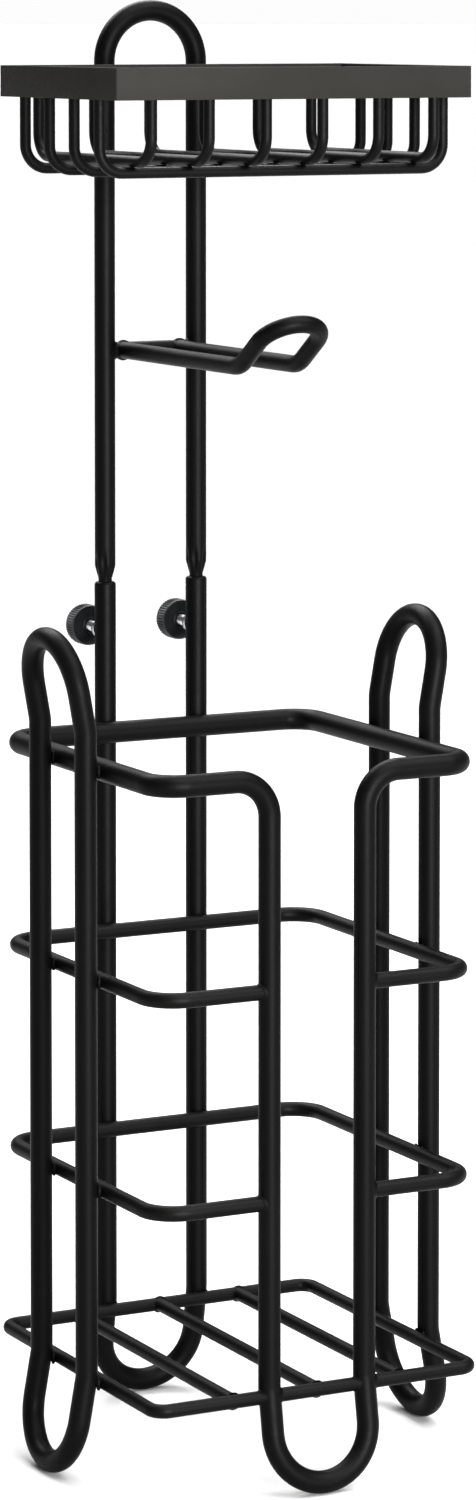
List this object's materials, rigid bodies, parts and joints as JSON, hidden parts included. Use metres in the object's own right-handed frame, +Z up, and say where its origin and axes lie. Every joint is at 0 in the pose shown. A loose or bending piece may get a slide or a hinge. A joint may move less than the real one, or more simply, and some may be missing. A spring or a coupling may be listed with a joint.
{
  "type": "toilet paper holder",
  "caption": "Free-standing toilet paper holder: a tube basket on looped feet for spare rolls, a height-adjustable twin-tube pole, a hairpin roll arm and a wire tray.",
  "frame": {"origin": "on the floor, under the middle of the basket", "axes": "+X to the right as seen from the open front, +Y to the back, towards the pole, +Z up"},
  "size_m": [0.2396, 0.2428, 0.7905],
  "materials": {
    "tube_black": "satin black powder coat on steel tube",
    "wire_black": "satin black powder coat on steel wire",
    "band_black": "satin charcoal powder coat on flat steel bar",
    "insert_steel": "zinc plated",
    "stud_steel": "bright zinc-plated thread",
    "knob_plastic": "moulded, finely fluted rim"
  },
  "bodies": {
    "basket": {"rim_and_front_loop": "tube_black", "left_loop": "tube_black", "right_loop": "tube_black", "back_posts": "tube_black", "upper_ring": "wire_black", "middle_ring": "wire_black", "base_ring": "wire_black", "base_front_link": "wire_black", "floor_bar_left": "wire_black", "floor_bar_middle": "wire_black", "floor_bar_right": "wire_black", "thread_insert_left": "insert_steel", "thread_insert_right": "insert_steel"},
    "pole_frame": {"pole": "tube_black", "arm_crossbar": "tube_black", "roll_arm": "tube_black", "tray_band": "band_black", "tray_long_wire_1": "wire_black", "tray_long_wire_2": "wire_black", "tray_long_wire_3": "wire_black", "tray_long_wire_4": "wire_black", "tray_cross_wire_1": "wire_black", "tray_cross_wire_2": "wire_black", "tray_cross_wire_3": "wire_black", "tray_cross_wire_4": "wire_black", "tray_cross_wire_5": "wire_black", "tray_cross_wire_6": "wire_black", "tray_standoff_left": "tube_black", "tray_standoff_right": "tube_black"},
    "stud_left": {"screw_stud_left": "stud_steel"},
    "knob_left": {"thumb_knob_left": "knob_plastic"},
    "stud_right": {"screw_stud_right": "stud_steel"},
    "knob_right": {"thumb_knob_right": "knob_plastic"}
  },
  "joints": [
    {"name": "pole_slide", "type": "slide", "parent": "basket", "child": "pole_frame", "axis": [0, 0, 1], "range_m": [0, 0.05]},
    {"name": "stud_left_slide", "type": "slide", "parent": "basket", "child": "stud_left", "axis": [0, 1, 0], "range_m": [0, 0.002]},
    {"name": "knob_left_turn", "type": "hinge", "parent": "stud_left", "child": "knob_left", "pos_m": [-0.0285, 0.1275, 0.4385], "axis": [0, 1, 0], "range_deg": [0, 720]},
    {"name": "stud_right_slide", "type": "slide", "parent": "basket", "child": "stud_right", "axis": [0, 1, 0], "range_m": [0, 0.002]},
    {"name": "knob_right_turn", "type": "hinge", "parent": "stud_right", "child": "knob_right", "pos_m": [0.0285, 0.1275, 0.4385], "axis": [0, 1, 0], "range_deg": [0, 720]}
  ],
  "couplings": [
    {"joint": "knob_left_turn", "follows": "stud_left_slide", "rad_per_m": 6283.2},
    {"joint": "knob_right_turn", "follows": "stud_right_slide", "rad_per_m": 6283.2}
  ]
}
